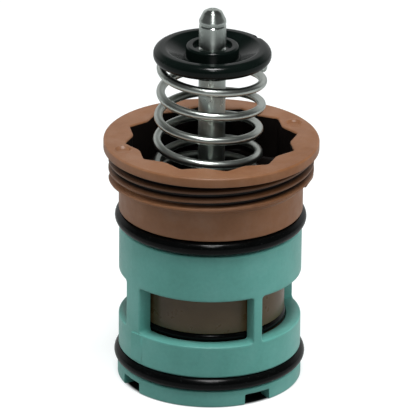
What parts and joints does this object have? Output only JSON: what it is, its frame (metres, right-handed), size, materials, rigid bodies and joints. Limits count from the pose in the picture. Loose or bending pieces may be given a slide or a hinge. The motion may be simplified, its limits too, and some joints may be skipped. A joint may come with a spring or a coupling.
{
  "type": "zone valve cartridge",
  "caption": "Plug-in zone valve cartridge with a sprung stem, twelve point threaded collar, ported cage and sliding piston.",
  "frame": {"origin": "centre of the foot's lower face, on the stem's axis", "axes": "+Z along the stem, from the foot towards the stem's head; the cage's windows face +X, -X, +Y and -Y"},
  "size_m": [0.04, 0.04, 0.0719],
  "materials": {
    "collar_plastic": "satin moulded",
    "cage_plastic": "satin moulded",
    "piston_plastic": "smooth satin",
    "retainer_plastic": "glossy black",
    "guide_plastic": "natural bearing plastic",
    "seal_rubber": "lubricated black rubber",
    "spring_steel": "drawn stainless wire",
    "stem_steel": "turned stainless",
    "clip_steel": "blackened"
  },
  "bodies": {
    "body": {"threaded_collar": "collar_plastic", "cage": "cage_plastic", "upper_body_oring": "seal_rubber", "lower_body_oring": "seal_rubber", "stem_guide": "guide_plastic", "stem_oring_upper": "seal_rubber", "stem_oring_lower": "seal_rubber", "gland_spacer": "guide_plastic", "gland_retainer": "guide_plastic", "spring_seat_washer": "spring_steel", "return_spring": "spring_steel"},
    "plunger": {"stem": "stem_steel", "spring_retainer": "retainer_plastic", "retainer_clip": "clip_steel", "piston": "piston_plastic", "piston_upper_seal": "seal_rubber", "piston_lower_seal": "seal_rubber", "piston_upper_washer": "stem_steel", "piston_lower_washer": "stem_steel", "piston_nut": "stem_steel"}
  },
  "joints": [
    {"name": "stem_stroke", "type": "slide", "parent": "body", "child": "plunger", "axis": [0, 0, -1], "range_m": [0, 0.009], "stiffness_N_per_m": 1500, "springref_m": -0.008, "deforming": ["return_spring"]}
  ]
}
